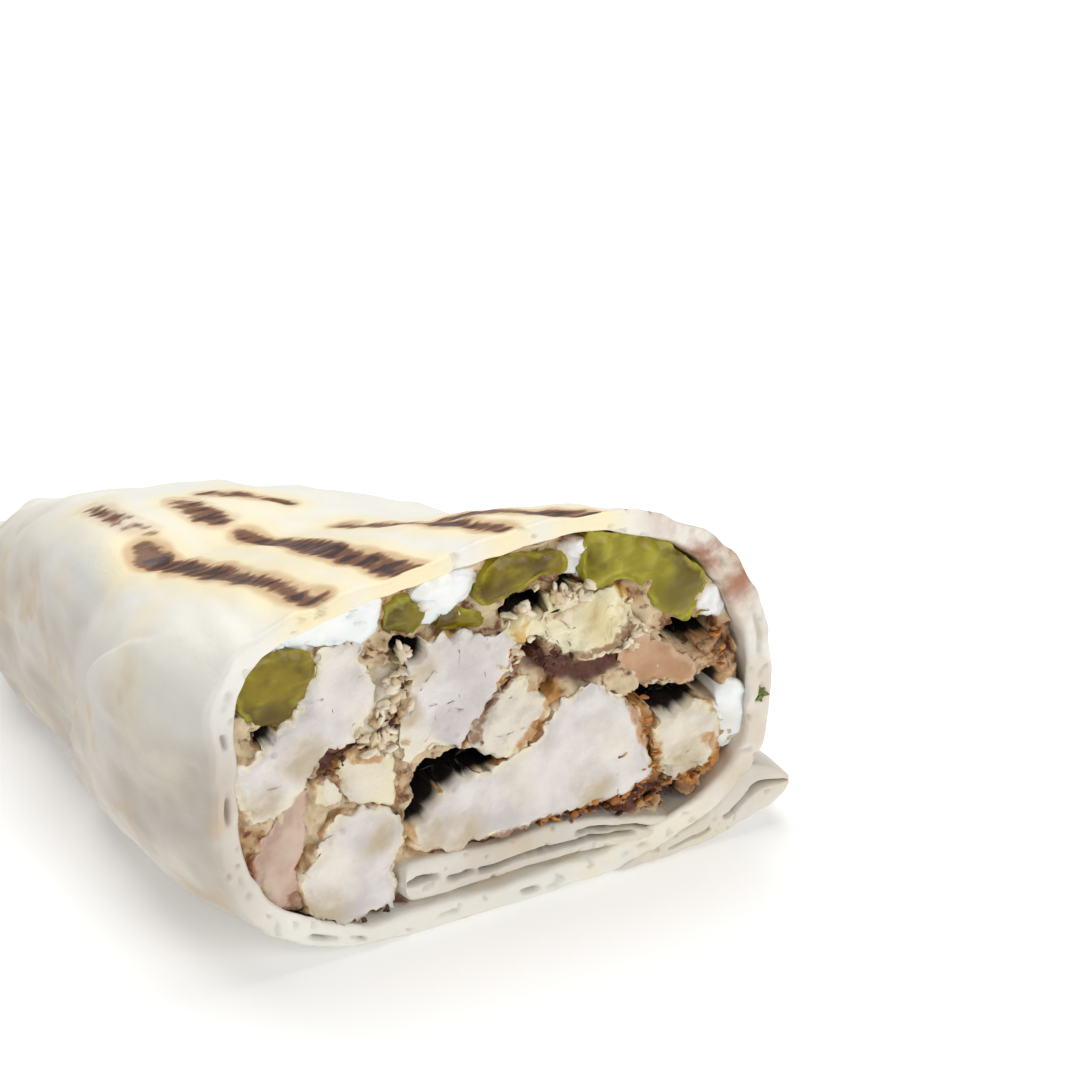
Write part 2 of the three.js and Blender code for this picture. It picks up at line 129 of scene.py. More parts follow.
def noise(points, size, seed=0, octaves=3, stretch=(1, 1, 1)):
    """Smooth unevenness between about -1 and 1 with bumps of a given size."""
    shape = points.shape[:-1]
    flat = points.reshape(-1, 3) / np.array(stretch)
    total = np.zeros(len(flat))
    strength = 1.0
    for octave in range(octaves):
        place = flat * (2 ** octave / size) + 13.7 * seed + 5.3 * octave
        cell = np.floor(place).astype(np.int64)
        part = place - cell
        part = part * part * (3 - 2 * part)
        value = np.zeros(len(flat))
        for corner in product((0, 1), repeat=3):
            weight = np.prod(np.where(corner, part, 1 - part), axis=1)
            key = (cell + corner) @ CELL_PRIMES + seed * SEED_PRIME
            key = (key ^ (key >> 13)) * MIXER & WORD
            key = (key ^ (key >> 16)) & HALF_WORD
            value += weight * key / HALF_WORD
        total += strength * (2 * value - 1)
        strength *= 0.5
    return (total / (2 - 2 * strength)).reshape(shape) * NOISE_SPREAD


def line_distance(points, line):
    """How far each point lies from a polyline, in as many axes as both have."""
    nearest = np.full(points.shape[:-1], 1e9)
    for a, b in zip(line[:-1], line[1:]):
        along_line = b - a
        t = np.clip((points - a) @ along_line / (along_line @ along_line), 0, 1)
        away = np.linalg.norm(points - a - t[..., None] * along_line, axis=-1)
        nearest = np.minimum(nearest, away)
    return nearest


def curve_through(corners, count):
    """Evenly numbered points on a smooth curve through corners."""
    corners = np.asarray(corners, float)
    index = np.arange(len(corners))
    at = np.linspace(0, len(corners) - 1, count)
    return np.stack([along(np.stack([index, axis], 1), at) for axis in corners.T], 1)


def make_object(name, points, faces):
    """A mesh object with smooth shading and its faces pointing out."""
    mesh = bpy.data.meshes.new(name)
    mesh.from_pydata([tuple(p) for p in points], [], [tuple(f) for f in faces])
    solid = bmesh.new()
    solid.from_mesh(mesh)
    bmesh.ops.recalc_face_normals(solid, faces=solid.faces)
    solid.to_mesh(mesh)
    solid.free()
    mesh.shade_smooth()
    piece = bpy.data.objects.new(name, mesh)
    bpy.context.scene.collection.objects.link(piece)
    return piece


def tube_faces(rows, count):
    """Quads between rings that follow each other, and a cap on each end."""
    k = np.arange(count)
    faces = []
    for row in range(rows - 1):
        a = row * count + k
        b = row * count + (k + 1) % count
        faces.extend(np.stack([a, b, b + count, a + count], 1).tolist())
    faces.append(k[::-1].tolist())
    faces.append(((rows - 1) * count + k).tolist())
    return faces


def write_attributes(piece, masks):
    """Numbers for each point of a piece, by name, which its finish can read."""
    for name, values in masks.items():
        made = piece.data.attributes.new(name, "FLOAT", "POINT")
        made.data.foreach_set("value", np.asarray(values, np.float32).ravel())


def read_vectors(items, name):
    """A vector from each of a mesh's items, such as its points or normals."""
    vectors = np.zeros(len(items) * 3, np.float32)
    items.foreach_get(name, vectors)
    return vectors.reshape(-1, 3).astype(float)


def move_points(piece, points):
    piece.data.vertices.foreach_set("co", points.astype(np.float32).ravel())
    piece.data.update()


def finish_piece(piece, slot, material, *nodes):
    """What every piece of the wrap says: its finish and the solids it stands for. Its slot is not used."""
    piece.data.materials.append(material)
    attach(piece, BODY)
    if nodes:
        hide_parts(*nodes)
    return piece


# ---- finishes ----

class Value:
    """A number in a finish. Arithmetic on it adds Math nodes."""

    def __init__(self, finish, socket):
        self.finish = finish
        self.socket = socket

    def math(self, operation, *values):
        inputs = dict(enumerate(values))
        return self.finish.add("ShaderNodeMath", {"operation": operation}, inputs)

    def __add__(self, other):
        return self.math("ADD", self, other)

    def __radd__(self, other):
        return self.math("ADD", other, self)

    def __sub__(self, other):
        return self.math("SUBTRACT", self, other)

    def __rsub__(self, other):
        return self.math("SUBTRACT", other, self)

    def __mul__(self, other):
        return self.math("MULTIPLY", self, other)

    def __rmul__(self, other):
        return self.math("MULTIPLY", other, self)

    def above(self, start, end):
        """0 below start and 1 above end, smooth between."""
        settings = {"interpolation_type": "SMOOTHSTEP"}
        inputs = {"Value": self, "From Min": start, "From Max": end}
        return self.finish.add("ShaderNodeMapRange", settings, inputs)


class Finish:
    """A procedural material under construction."""

    def __init__(self, name, **constants):
        self.material = bpy.data.materials.new(name)
        self.material.use_nodes = True
        self.tree = self.material.node_tree
        self.shader = self.tree.nodes["Principled BSDF"]
        for socket, value in constants.items():
            self.shader.inputs[socket.replace("_", " ")].default_value = value

    def add(self, kind, settings=None, inputs=None, output=0):
        """Any node: its type, its settings, then the values or links of its sockets."""
        node = self.tree.nodes.new(kind)
        for name, value in (settings or {}).items():
            setattr(node, name, value)
        for name, value in (inputs or {}).items():
            if isinstance(value, Value):
                self.tree.links.new(value.socket, node.inputs[name])
            else:
                node.inputs[name].default_value = value
        return Value(self, node.outputs[output])

    def place(self, stretch=(1, 1, 1), turn=(0, 0, 0)):
        """The point on the piece, stretched and turned."""
        point = self.add("ShaderNodeTexCoord", output="Object")
        inputs = {"Vector": point, "Scale": stretch, "Rotation": turn}
        return self.add("ShaderNodeMapping", {"vector_type": "POINT"}, inputs)

    def mottle(self, size, stretch=(1, 1, 1), turn=(0, 0, 0), detail=4.0, rough=0.55):
        """Soft unevenness from 0 to 1 with patches of a given size."""
        inputs = {"Vector": self.place(stretch, turn), "Scale": 1 / size, "Detail": detail,
                  "Roughness": rough}
        return self.add("ShaderNodeTexNoise", {"noise_dimensions": "3D"}, inputs)

    def cells(self, size, stretch=(1, 1, 1)):
        """Distance from the middle of scattered cells of a given size."""
        inputs = {"Vector": self.place(stretch), "Scale": 1 / size}
        return self.add("ShaderNodeTexVoronoi", {"feature": "F1"}, inputs)

    def attribute(self, name):
        return self.add("ShaderNodeAttribute", {"attribute_name": name}, output="Fac")

    def blend(self, a, b, share):
        """Colour a where share is 0 and colour b where it is 1."""
        inputs = {0: share}
        for socket, tone in ((6, a), (7, b)):  # the node's colour sockets by number
            inputs[socket] = tone if isinstance(tone, Value) else (*tone, 1)
        return self.add("ShaderNodeMix", {"data_type": "RGBA"}, inputs, output=2)

    def paint(self, tone, *coats):
        """Lays coats over a colour in turn, each with its share."""
        for coat, share in coats:
            tone = self.blend(tone, coat, share)
        return tone

    def hollowed(self, tone):
        """A colour that turns nearly black where a hollow opens: painted shadow."""
        return self.blend(tone, HOLLOW_SHADE, self.attribute("hollow").above(0.06, 0.3))

    def feed(self, socket, value):
        self.tree.links.new(value.socket, self.shader.inputs[socket])

    def bump(self, height, distance, strength=1.0):
        inputs = {"Height": height, "Distance": distance, "Strength": strength}
        self.feed("Normal", self.add("ShaderNodeBump", None, inputs))


def colour(red, green, blue):
    """A colour given as it looks on a screen, 0 to 255, as linear light."""
    def linear(level):
        share = level / 255
        return share / 12.92 if share <= 0.04045 else ((share + 0.055) / 1.055) ** 2.4
    return linear(red), linear(green), linear(blue)


CREAM_WHITE = colour(243, 240, 230)
COOL_WHITE = colour(236, 237, 234)
BAKED_YELLOW = colour(250, 236, 196)
PINK_GREY = colour(194, 182, 168)
TAN = colour(206, 182, 146)
TOAST = colour(196, 144, 90)
RIM_PINK = colour(164, 108, 76)
CHAR = colour(124, 82, 56)
CHAR_DARK = colour(62, 38, 32)
CRUMB_SHADE = colour(88, 74, 54)
SAFFRON = colour(190, 134, 62)
PAPRIKA = colour(150, 78, 34)
BROWN_CRUST = colour(138, 90, 54)
HOLLOW_SHADE = colour(14, 8, 8)
STAIN = colour(188, 170, 136)


def bread_finish():
    """Flour-dusted flatbread: cream, with baked patches, grill stripes and a cut crumb."""
    made = Finish("flatbread_baked", Subsurface_Weight=0.08, Subsurface_Scale=0.004,
                  Subsurface_Radius=(1.0, 0.8, 0.6))
    patch = made.mottle(0.019, detail=3.0).above(0.5, 0.68)
    cool = made.mottle(0.034, detail=2.0).above(0.42, 0.62)
    low = made.attribute("underside")
    spice = made.attribute("spice")
    hatch = made.mottle(0.0012, stretch=(0.22, 1.0, 1.0), turn=(0, 0, -0.5), detail=2.5)
    blotch = made.mottle(0.0035, detail=3.0)
    burnt = made.attribute("char")
    brown = (burnt + (blotch - 0.5) * 0.8 + (hatch - 0.5) * 1.9).above(0.2, 0.75) * burnt.above(0.03, 0.25)
    black = ((burnt - 0.45) * 1.2 + (hatch - 0.5) * 2.8 + (blotch - 0.5) * 0.9).above(0.42, 0.8)
    toasted = (made.attribute("toast") + (blotch - 0.5) * 0.8).above(0.15, 1.0)
    spots = made.cells(0.0036, (1.0, 1.0, 0.7)).above(0.24, 0.06) * made.mottle(0.006).above(0.5, 0.66)
    tone = made.paint(
        CREAM_WHITE, (COOL_WHITE, cool), (BAKED_YELLOW, patch * 0.5),
        # painted shade: pink-grey on the roll's bottom and left side, with real tan patches there
        (PINK_GREY, low * (0.5 + made.mottle(0.014, detail=3.0).above(0.35, 0.7) * 0.45)),
        (TAN, low * made.mottle(0.01, detail=4.0).above(0.54, 0.72) * 0.75),
        (TAN, made.attribute("tan") * made.mottle(0.007).above(0.3, 0.6)),
        (RIM_PINK, spice * made.mottle(0.0045).above(0.28, 0.66)),
        (BAKED_YELLOW, made.attribute("halo")), (TOAST, toasted * 0.6), (CHAR, brown),
        # the last coat on the next line is painted shade in the gaps between layers and in the pores
        (CHAR_DARK, black * burnt.above(0.1, 0.4)), (CRUMB_SHADE, made.attribute("pocket")),
        (PAPRIKA, spots * spice))
    made.feed("Base Color", tone)
    made.feed("Roughness", 0.62 - 0.12 * burnt - 0.1 * patch)
    grain = made.mottle(0.0016, detail=5.0, rough=0.65) + 0.5 * made.mottle(0.005)
    made.bump(grain + 0.8 * (1 - brown), 0.00022, 0.55)
    return made.material


def chicken_finish(name, meat, shade, edge, crust, speckle):
    """Roast chicken: a pale cut face, a lighter rim and a browned outside."""
    meat, shade, edge, crust = (colour(*tone) for tone in (meat, shade, edge, crust))
    made = Finish(name, Subsurface_Weight=0.16, Subsurface_Scale=0.003,
                  Subsurface_Radius=(1.0, 0.55, 0.4), Coat_Roughness=0.3)
    face = made.attribute("face")
    rim = made.attribute("rim")
    patch = made.mottle(0.0075, detail=3.0).above(0.38, 0.68)
    warm = made.mottle(0.0095, detail=2.0).above(0.46, 0.7)
    fibre = made.mottle(0.0016, stretch=(1.0, 0.3, 1.6), turn=(0, 0.5, 0), detail=4.0)
    inside = made.paint(meat, (shade, patch), (edge, warm * (0.35 + 0.65 * rim)),
                        (edge, (rim + (made.mottle(0.0035) - 0.5) * 1.6).above(0.55, 1.1) * 0.8))
    outside = made.blend(edge, crust, made.mottle(0.003, detail=4.0).above(0.34, 0.6))
    crumb = made.mottle(0.0009, detail=5.0, rough=0.65)
    saffron = (made.attribute("saffron") + crumb * 1.5 - 1.15).above(0.0, 0.65)
    browned = (made.attribute("browned") + crumb * 1.5 - 1.15).above(0.0, 0.65)
    spice = made.cells(0.0026).above(0.24, 0.1) * made.mottle(0.0055, detail=2.0).above(0.5, 0.62)
    tone = made.paint(outside, (inside, face), (SAFFRON, saffron * 0.8), (BROWN_CRUST, browned * 0.85),
                      (PAPRIKA, spice * (speckle * (0.35 + 0.65 * rim))),
                      # painted shade: a tan tone over the darker parts of the cut face
                      (STAIN, made.attribute("stain") * made.mottle(0.004).above(0.25, 0.6)))
    made.feed("Base Color", made.hollowed(tone))
    made.feed("Roughness", 0.42 + 0.16 * fibre)
    made.bump(fibre + 0.8 * made.mottle(0.0007, detail=3.0), 0.0003, 0.6)
    return made.material


def pickle_finish(name, flesh, skin, pale):
    """Pickled cucumber: wet, glassy flesh with a lighter rim and paler streaks."""
    flesh, skin, pale = (colour(*tone) for tone in (flesh, skin, pale))
    made = Finish(name, Subsurface_Weight=0.15, Subsurface_Scale=0.002,
                  Subsurface_Radius=(0.9, 0.8, 0.15), Coat_Weight=0.1, Coat_Roughness=0.15,
                  Specular_IOR_Level=0.3)
    streak = made.mottle(0.0035, stretch=(1.0, 1.0, 2.2), turn=(0, 0.6, 0), detail=4.0)
    cloud = made.mottle(0.0055, detail=3.0)
    at_rim = (made.attribute("rim") + (made.mottle(0.003) - 0.5) * 1.8).above(0.75, 1.2)
    tone = made.paint(flesh, (skin, cloud.above(0.42, 0.66)), (pale, streak.above(0.5, 0.72) * 0.45),
                      (pale, at_rim * 0.7), (pale, made.attribute("seed") * 0.45),
                      # painted shade: the skin colour over the darker parts of the face
                      (skin, made.attribute("stain")))
    made.feed("Base Color", made.hollowed(tone))
    made.feed("Roughness", 0.2 + 0.25 * streak)
    made.bump(streak + 0.4 * made.mottle(0.0012), 0.0002, 0.45)
    return made.material


def sauce_finish():
    """Garlic sauce: thick, white and wet."""
    made = Finish("garlic_sauce_white", Subsurface_Weight=0.3, Subsurface_Scale=0.004,
                  Coat_Weight=0.35, Coat_Roughness=0.15)
    cloud = made.mottle(0.005, detail=2.0)
    tone = made.blend(colour(248, 246, 244), colour(230, 228, 225), cloud.above(0.4, 0.75))
    made.feed("Base Color", tone)
    made.feed("Roughness", 0.24 + 0.16 * cloud)
    made.bump(made.mottle(0.0018), 0.00015, 0.3)
    return made.material


def bed_finish():
    """Shredded filling between and behind the cut pieces, with shadow painted nearly black in its hollows.
    """
    made = Finish("packed_filling_shredded", Subsurface_Weight=0.08, Subsurface_Scale=0.002)
    crumb = made.mottle(0.0014, detail=4.0)
    patch = made.mottle(0.006, detail=3.0)
    tone = made.paint(
        colour(216, 196, 160), (colour(188, 148, 104), patch.above(0.44, 0.64)),
        (colour(112, 66, 40), (crumb * 0.7 + patch * 0.4).above(0.54, 0.68)),
        (SAFFRON, made.attribute("saffron") * 0.85), (colour(92, 48, 30), made.attribute("browned")),
        (colour(240, 240, 240), made.attribute("sauced")),
        (HOLLOW_SHADE, made.attribute("hollow").above(0.06, 0.35)))
    made.feed("Base Color", tone)
    made.feed("Roughness", 0.4 + 0.3 * crumb)
    made.bump(crumb + patch, 0.0005, 0.7)
    return made.material


def crumb_finish(name, light, dark):
    """Loose crumbs, each of its own shade."""
    made = Finish(name, Roughness=0.6)
    grain = made.mottle(0.0006, detail=3.0)
    shares = (dark, made.attribute("shade")), (dark, grain.above(0.5, 0.75) * 0.6)
    made.feed("Base Color", made.paint(light, *shares))
    made.feed("Roughness", 0.45 + 0.25 * grain)
    made.bump(grain, 0.00015, 0.6)
    return made.material


# ---- flatbread ----

def section(depth, angle, side=0.0, top=0.0, floor=0.0):
    """Across and up of the roll's section at a depth, drawn in by the walls."""
    left = along(LEFT, depth) + side
    right = along(RIGHT, depth) - side
    middle = along(MIDDLE, depth)
    lean = CROWN_LEAN * np.maximum(0, 1 - depth / LEAN_LENGTH)
    c, s = np.cos(angle), np.sin(angle)
    on_right, upper = c >= 0, s >= 0
    waist = np.where(on_right, along(WIDEST_RIGHT, depth), along(WIDEST_LEFT, depth))
    above = np.where(on_right, along(SQUARE_TOP_RIGHT, depth), along(SQUARE_TOP_LEFT, depth))
    below = np.where(on_right, along(SQUARE_BASE_RIGHT, depth), along(SQUARE_BASE_LEFT, depth))
    power = np.where(upper, above, below)
    reach = (np.abs(c) ** power + np.abs(s) ** power) ** (1 / power)
    half_width = np.where(on_right, right - middle, middle - left)
    crown = along(CROWN, depth) - top
    half_height = np.where(upper, crown - waist, waist - floor + FLAT_SINK)
    x = middle + half_width * c / reach
    rise = np.where(upper, lean * (x - middle) * s / reach, 0)
    z = waist + half_height * s / reach + rise
    return x, np.maximum(z, floor)


def ring_normals(x, z):
    """Directions out of each ring, in its own plane."""
    across = np.roll(x, -1, 1) - np.roll(x, 1, 1)
    up = np.roll(z, -1, 1) - np.roll(z, 1, 1)
    length = np.maximum(np.hypot(across, up), 1e-9)
    return up / length, -across / length


# The outer sheet's edge, which laps over the roll's left side: [height, depth of the edge].
LAP_EDGE = mm([[0, 45], [7, 42], [14, 37.5], [27, 29], [37, 18], [43, 8]])
LAP_STEP = 1.5 * MM
# Creases in the bread: points [across, depth, height], half width and depth of each, in mm.
CREASES = [
    ([[-38, 34, 33], [-28, 32, 41], [-14, 29, 43], [2, 26, 44]], 2.6, 1.1),
    ([[-37, 22, 36], [-39, 27, 24], [-38, 33, 12]], 2.2, 0.5),
    ([[-36, 3, 30], [-39, 12, 20], [-38, 22, 8]], 3.0, 0.5),
    ([[-37, 52, 30], [-39, 60, 20], [-36, 66, 8]], 3.0, 0.9),
    ([[-20, 54, 38], [-32, 62, 31], [-38, 74, 18]], 2.4, 0.7),
    ([[0, 44, 36], [-12, 58, 34], [-26, 76, 26]], 2.6, 0.8),
    ([[34, 6, 34], [34, 18, 26], [30, 30, 18]], 2.4, 0.6),
    ([[24, 24, 36], [16, 38, 28], [8, 56, 20]], 2.6, 0.9),
    ([[28, 36, 12], [16, 52, 12], [4, 70, 10]], 2.2, 0.7),
]
PLEATS = 9  # folds gathered round the tucked end
PLEAT_DEPTH = 1.5 * MM


def skin_relief(place, angle):
    """How far the outer skin stands out, from its lumps, creases, lap and pleats."""
    depth = place[..., 1]
    away = 0.5 * MM * noise(place, 16 * MM, seed=1, octaves=2)
    away += 0.22 * MM * noise(place, 5 * MM, seed=2, octaves=2)
    away += 0.3 * MM * noise(place, 3.6 * MM, seed=3, octaves=2, stretch=(1, 5, 1))
    for line, width, sink in CREASES:
        away -= sink * MM * np.exp(-((line_distance(place, mm(line)) / (width * MM)) ** 2))
    wobble = 1.2 * MM * noise(place, 9 * MM, seed=4, octaves=2)
    behind = depth - along(LAP_EDGE, place[..., 2]) + wobble
    on_left = ramp(place[..., 0], -20 * MM, -31 * MM) * ramp(place[..., 2], 43 * MM, 33 * MM)
    lap = ramp(behind, -0.8 * MM, 0.9 * MM) * ramp(behind, 26 * MM, 4 * MM)
    away -= LAP_STEP * lap * on_left
    gather = ramp(depth, 70 * MM, WRAP_END)
    swirl = PLEATS * angle + 30 * (depth - SHOULDER) + 1.4 * noise(place, 12 * MM, seed=5, octaves=1)
    away += PLEAT_DEPTH * gather * (np.abs(np.sin(swirl / 2)) - 0.75)
    return away


def outer_skin(depth, angle):
    """Points of the outer skin at depths behind the cut."""
    x, z = section(depth, angle)
    place = np.stack([x, np.broadcast_to(depth, x.shape), z], -1)
    out_x, out_z = ring_normals(x, z)
    away = skin_relief(place, angle)
    place[..., 0] += out_x * away
    place[..., 2] = np.maximum(place[..., 2] + out_z * away, 0)
    return place


def tucked_end(angle):
    """Rings that draw the roll in to its tucked end, with a dimple in the middle."""
    shoulder = outer_skin(np.full((1, 1), SHOULDER), angle)
    centre = shoulder.mean(axis=1, keepdims=True)
    steps = np.linspace(0, len(END_PROFILE), 3 * len(END_PROFILE) + 1)[1:, None]
    whole = np.array([[0, 1]] + END_PROFILE)
    index = np.arange(len(whole))
    share = along(np.stack([index, whole[:, 0]], 1), steps)
    size = along(np.stack([index, whole[:, 1]], 1), steps)
    rings = centre + (shoulder - centre) * size[..., None]
    rings[..., 1] = SHOULDER + (WRAP_END - SHOULDER) * share
    pleat = np.abs(np.sin(PLEATS * angle / 2 + 1.5 * share)) - 0.6
    rings[..., 1] += 0.9 * MM * pleat * ramp(share, 0.1, 0.9)
    rings[..., 2] = np.maximum(rings[..., 2], 0)
    return rings


def inner_skin(depth, angle):
    """Points of the bread's inside, with walls of slightly uneven thickness."""
    x, z = section(depth, angle, WALL_SIDE, WALL_TOP, FLOOR)
    place = np.stack([x, np.broadcast_to(depth, x.shape), z], -1)
    out_x, out_z = ring_normals(x, z)
    away = 0.7 * MM * noise(place, 7 * MM, seed=6, octaves=3)
    place[..., 0] += out_x * away
    place[..., 2] += out_z * away
    return place


def rim(angle):
    """The cut through the wall, from the inside out, with pores and a gap between layers, and how much
    shade to paint into them.
    """
    inside = inner_skin(np.zeros((1, 1)), angle)
    outside = outer_skin(np.zeros((1, 1)), angle)
    share = np.linspace(0, 1, RIM_STEPS)[1:-1, None]
    place = inside + (outside - inside) * share[..., None]
    rounding = 0.5 * MM * np.abs(2 * share - 1) ** 7
    relief = 0.16 * MM * noise(place, 2.4 * MM, seed=7)
    middle = 0.52 + 0.1 * noise(place, 9 * MM, seed=8, octaves=2)
    apart = np.exp(-(((share - middle) / 0.1) ** 2))
    dashes = ramp(noise(place, 2.2 * MM, seed=9, octaves=2), 0.2, 0.7)
    layered = ramp(place[..., 0], 0, -18 * MM) * ramp(place[..., 2], 44 * MM, 38 * MM)
    layered = np.maximum(layered, 0.5 * ramp(place[..., 0], 26 * MM, 32 * MM))
    beneath = ramp(place[..., 2], 5 * MM, 4 * MM) * ramp(place[..., 0], -10 * MM, -3 * MM)
    layered = np.maximum(layered, beneath)
    gap = apart * dashes * layered
    pores = ramp(noise(place, 1.1 * MM, seed=10, octaves=1), 1.05, 1.35)
    place[..., 1] = rounding + relief + 0.9 * MM * gap + 0.4 * MM * pores
    return place, np.maximum(0.6 * gap, 0.15 * pores)


# Grill stripes over the crown: centre line [across, depth], half width, both in mm, and strength.
STRIPES = [
    ([[-28.5, 34], [-26.6, 25], [-25, 14], [-23.2, 5], [-22.4, 2]], 1.8, 1.0),
    ([[-17.5, 31], [-15.4, 22], [-14.6, 11], [-12.4, 3], [-10.6, 0]], 1.7, 1.0),
    ([[-6, 27], [-4, 17], [-2, 8], [1.5, 2]], 1.7, 0.95),
    ([[0, 13], [5.7, 7], [11, 1]], 1.8, 0.9),
    ([[-29.4, 50], [-29.2, 42], [-27, 37]], 1.5, 0.55),
    ([[-21, 42], [-20, 38], [-18.6, 35]], 1.7, 0.75),
    ([[-17, 44], [-13, 40], [-9, 37]], 1.3, 0.7),
]
CROWN_ONLY = (30 * MM, 36 * MM)  # the stripes fade out below this height
# Where the char, the toast and the halo fade out and are full, in half widths of a stripe.
STRIPE_REACHES = ((1.4, 0.3), (2.1, 0.9), (4.2, 1.1))


def stripe_masks(place):
    """Charring, toasted halo and baked yellow round the grill stripes."""
    flat = place[..., :2]
    up = ramp(place[..., 2], *CROWN_ONLY)
    wander = 0.7 * MM * noise(place, 4 * MM, seed=11, octaves=3)
    masks = [np.zeros(flat.shape[:-1]) for _ in STRIPE_REACHES]
    for line, width, strength in STRIPES:
        width *= MM
        away = line_distance(flat, mm(line)) + wander
        for mask, (outer, inner) in zip(masks, STRIPE_REACHES):
            np.maximum(mask, strength * ramp(away, width * outer, width * inner), out=mask)
    return [mask * up for mask in masks]


def build_roll(material):
    """The rolled sheet: inside, cut rim, outer skin and tucked end as one closed body."""
    angle = np.linspace(0, 2 * math.pi, AROUND, endpoint=False)[None, :]
    inner_depths = np.concatenate([[0.4, 1, 2, 3.2], np.arange(5, 30, 2.5), np.arange(34, 78, 8)])
    inner_rows = inner_skin(inner_depths[::-1, None] * MM, angle)
    skin_depths = np.arange(0, SHOULDER, SKIN_STEP)[:, None]
    outer_rows = outer_skin(skin_depths, angle)
    outer_rows[0, :, 1] += 0.5 * MM
    first_inside = inner_skin(np.zeros((1, 1)), angle)
    first_inside[..., 1] += 0.5 * MM
    rim_rows, gap = rim(angle)
    rows = [inner_rows[:-1], first_inside, rim_rows, outer_rows, tucked_end(angle)]
    place = np.concatenate(rows)
    before = len(inner_rows)
    pocket = np.zeros(place.shape[:2])
    pocket[before:before + len(gap)] = gap
    char, toast, halo = stripe_masks(place)
    on_top = np.zeros(place.shape[:2])
    on_top[before + len(rim_rows):] = 1
    char, toast = char * on_top, toast * on_top
    place[..., 2] -= 0.18 * MM * char
    depth, x, z = place[..., 1], place[..., 0], place[..., 2]
    # Painted shade: pink-grey low down towards the back and on the left side, away from the lamps.
    low = ramp(z, 24 * MM, 3 * MM) * ramp(depth, -8 * MM, 24 * MM)
    low = np.maximum(low, 0.95 * ramp(x, -24 * MM, -36 * MM) * ramp(z, 44 * MM, 26 * MM))
    spice = ramp(x, 16 * MM, 27 * MM) * ramp(z, 29 * MM, 36 * MM) * ramp(depth, 11 * MM, 1 * MM)
    tan = 0.55 * ramp(x, 24 * MM, 31 * MM) * ramp(z, 3 * MM, 9 * MM) * ramp(depth, 9 * MM, 0)
    place[..., 1] += CUT
    flat = place.reshape(-1, 3)
    roll = make_object("flatbread_roll", flat, tube_faces(len(place), AROUND))
    write_attributes(roll, {"char": char, "toast": toast, "halo": halo, "pocket": pocket,
                            "underside": low, "spice": spice, "tan": tan})
    return finish_piece(roll, "flatbread", material, "flatbread")


def carry(x, z, depth):
    """Takes a point of the cut back along the roll, so that it follows the taper."""
    def inside(at):
        return along(LEFT, at) + WALL_SIDE, along(RIGHT, at) - WALL_SIDE, along(CROWN, at) - WALL_TOP
    left, right, top = inside(0)
    left_here, right_here, top_here = inside(depth)
    share = (x - left) / (right - left)
    up = (z - FLOOR) / (top - FLOOR)
    return left_here + share * (right_here - left_here), FLOOR + up * (top_here - FLOOR)


def run_flap(x, z, depth):
    """Takes a point of the free edge back along the roll, sinking it into the roll."""
    left = 1 - depth / FLAP_LENGTH
    shift = along(RIGHT, depth) - along(RIGHT, 0) - FLAP_SINK * (1 - left) ** 2
    return x + shift * ramp(x, 0, 26 * MM), z * (0.35 + 0.65 * left)


STRIP_WARMTH = 0.7  # the strips take this share of the roll's pink-grey and tan tone
STRIP_ACROSS, STRIP_UP = 260, 22  # points along and up the cut face of a strip


def strip_face(lower, upper, gap_at, gap_width, seed):
    """The cut face of a strip, with broken gaps and pores, and how wide they open, which sets the shade
    painted into them.
    """
    across, thick = STRIP_ACROSS, STRIP_UP
    low = curve_through(lower, across)[:, None, :]
    high = curve_through(upper, across)[:, None, :]
    share = np.linspace(0, 1, thick)[None, :, None]
    flat = low + (high - low) * share
    place = np.stack([flat[..., 0], np.zeros((across, thick)), flat[..., 1]], -1)
    length = np.linspace(0, 1, across)[:, None]
    gap = np.zeros((across, thick))
    for at, start, end in gap_at:
        middle = at + 0.07 * noise(place, 4 * MM, seed=seed, octaves=2)
        apart = np.exp(-(((share[..., 0] - middle) / gap_width) ** 4))
        dashes = ramp(noise(place, 4 * MM, seed=seed + 1, octaves=3), -0.6, -0.1)
        span = ramp(length, start, start + 0.05) * ramp(length, end, end - 0.05)
        gap = np.maximum(gap, apart * dashes * span)
    pores = ramp(noise(place, 0.9 * MM, seed=seed + 2, octaves=1), 1.1, 1.4)
    edge = np.abs(2 * share[..., 0] - 1) ** 6 + ramp(length, 0.04, 0) + ramp(length, 0.96, 1)
    relief = 0.14 * MM * noise(place, 1.8 * MM, seed=seed + 3)
    place[..., 1] = 0.45 * MM * np.minimum(edge, 1) + relief + 2.4 * MM * gap + 0.4 * MM * pores
    return place, np.maximum(gap, 0.15 * pores)


